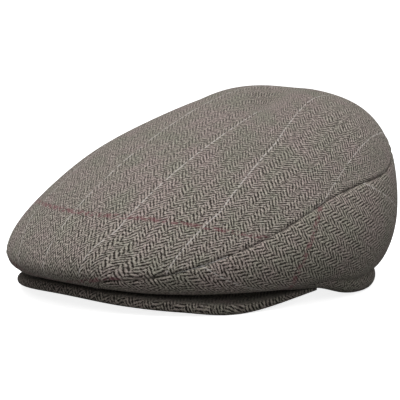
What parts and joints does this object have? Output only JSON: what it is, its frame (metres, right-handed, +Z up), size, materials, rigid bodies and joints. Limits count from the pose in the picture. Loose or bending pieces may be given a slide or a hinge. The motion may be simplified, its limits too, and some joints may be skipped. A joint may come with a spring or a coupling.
{
  "type": "flat cap",
  "caption": "Soft flat cap of herringbone tweed: a full sloping crown of three cloth panels over a short, stiff, arched peak.",
  "frame": {"origin": "under the middle of the crown, on the surface that the cap rests on", "axes": "+Z up out of the surface, -Y towards the front of the peak, +X towards the wearer's left"},
  "size_m": [0.2, 0.2749, 0.1205],
  "materials": {
    "top_tweed": "grey and dark brown herringbone tweed with fine pale overcheck stripes",
    "side_tweed": "the same herringbone tweed, cut with its stripes running down towards the nape",
    "peak_tweed": "the same herringbone tweed drawn tight over a stiff board"
  },
  "bodies": {
    "root": {"top_panel": "top_tweed", "side_panel_left": "side_tweed", "side_panel_right": "side_tweed", "peak": "peak_tweed"}
  },
  "joints": []
}
